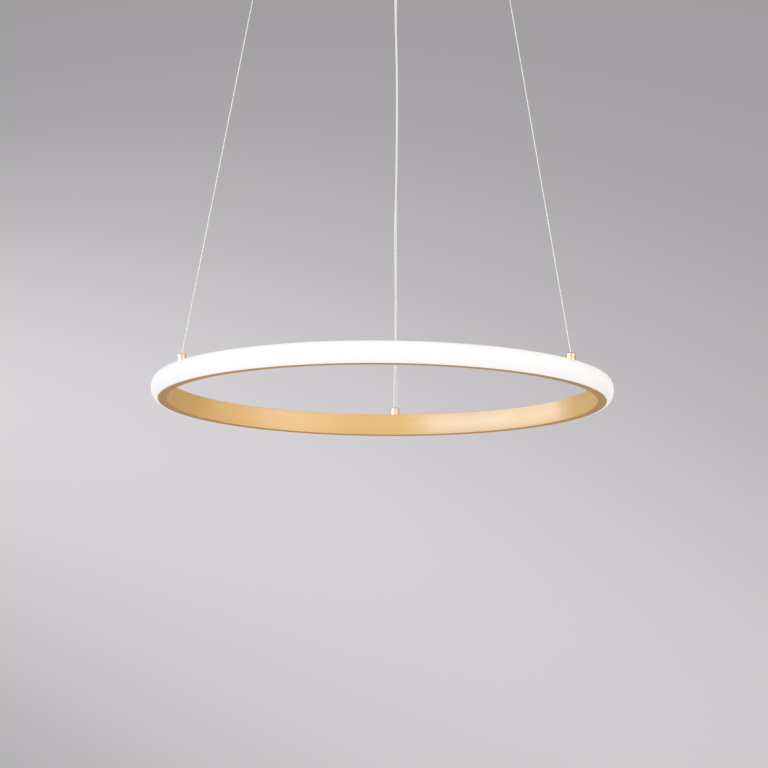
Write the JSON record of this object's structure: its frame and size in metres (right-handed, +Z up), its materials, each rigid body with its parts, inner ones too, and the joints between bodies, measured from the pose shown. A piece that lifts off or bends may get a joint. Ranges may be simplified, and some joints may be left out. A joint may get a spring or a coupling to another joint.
{
  "type": "led pendant light",
  "caption": "Round LED pendant light: a gold metal ring with an opal diffuser facing outwards, hung on thin wires and a power cable from a flat ceiling canopy.",
  "frame": {"origin": "middle of the ceiling bracket's top face, where the light meets the ceiling", "axes": "+Z up to the ceiling, +X to the right and -Y towards someone who looks at the light"},
  "size_m": [0.5999, 0.5998, 0.7325],
  "materials": {
    "gold_channel": "satin anodised, brushed along the ring",
    "opal": "smooth opal, lit from inside",
    "strip_white": "matt",
    "led_phosphor": "gloss",
    "zinc_steel": "bright zinc plate",
    "gold_brass": "satin plated",
    "plain_brass": "turned",
    "bearing_steel": "polished",
    "wire_steel": "bright stranded rope",
    "cable_white": "smooth, slightly clear",
    "gold_canopy": "satin gold",
    "boot_rubber": "matt",
    "driver_white": "fine matt grain",
    "board_green": "satin"
  },
  "bodies": {
    "canopy": {"gripper_nuts": "zinc_steel", "gland_nut": "zinc_steel", "driver_screws": "zinc_steel", "terminal_screws": "zinc_steel", "ceiling_bracket": "zinc_steel", "gripper_body_rear": "gold_brass", "gripper_body_left": "gold_brass", "gripper_body_right": "gold_brass", "cable_gland": "gold_brass", "side_screws": "gold_brass", "gripper_stud_rear": "plain_brass", "gripper_stud_left": "plain_brass", "gripper_stud_right": "plain_brass", "earth_screw": "plain_brass", "gripper_spring_rear": "bearing_steel", "gripper_spring_left": "bearing_steel", "gripper_spring_right": "bearing_steel", "cable_tail": "cable_white", "mains_leads": "cable_white", "canopy_cup": "gold_canopy", "cable_boot": "boot_rubber", "driver_case": "driver_white", "driver_cover": "driver_white", "terminal_block": "driver_white", "driver_board": "board_green"},
    "suspension": {"wire_rear": "wire_steel", "wire_left": "wire_steel", "wire_right": "wire_steel", "power_cable": "cable_white"},
    "ring": {"ring_channel": "gold_channel", "diffuser": "opal", "led_strip": "strip_white", "led_chips": "led_phosphor", "feed_connector": "strip_white", "splice_plates": "zinc_steel", "splice_screws": "zinc_steel", "fitting_cap_rear": "gold_brass", "fitting_cap_left": "gold_brass", "fitting_cap_right": "gold_brass", "fitting_nuts": "zinc_steel", "fitting_washers": "zinc_steel", "clamp_screws": "zinc_steel"},
    "plunger_rear": {"gripper_plunger_rear": "gold_brass", "gripper_balls_rear": "bearing_steel"},
    "plunger_left": {"gripper_plunger_left": "gold_brass", "gripper_balls_left": "bearing_steel"},
    "plunger_right": {"gripper_plunger_right": "gold_brass", "gripper_balls_right": "bearing_steel"}
  },
  "joints": [
    {"name": "swing", "type": "hinge", "parent": "canopy", "child": "suspension", "pos_m": [0, 0, -0.0446], "axis": [0, 1, 0], "range_deg": [-1.2, 1.2]},
    {"name": "ring_height", "type": "slide", "parent": "suspension", "child": "ring", "axis": [0, 0, 1], "range_m": [0, 0.25], "deforming": ["wire_rear", "wire_left", "wire_right", "power_cable"]},
    {"name": "release_rear", "type": "slide", "parent": "canopy", "child": "plunger_rear", "axis": [0, 0, 1], "range_m": [0, 0.0022], "stiffness_N_per_m": 600, "springref_m": -0.002, "deforming": ["gripper_spring_rear"]},
    {"name": "release_left", "type": "slide", "parent": "canopy", "child": "plunger_left", "axis": [0, 0, 1], "range_m": [0, 0.0022], "stiffness_N_per_m": 600, "springref_m": -0.002, "deforming": ["gripper_spring_left"]},
    {"name": "release_right", "type": "slide", "parent": "canopy", "child": "plunger_right", "axis": [0, 0, 1], "range_m": [0, 0.0022], "stiffness_N_per_m": 600, "springref_m": -0.002, "deforming": ["gripper_spring_right"]}
  ]
}
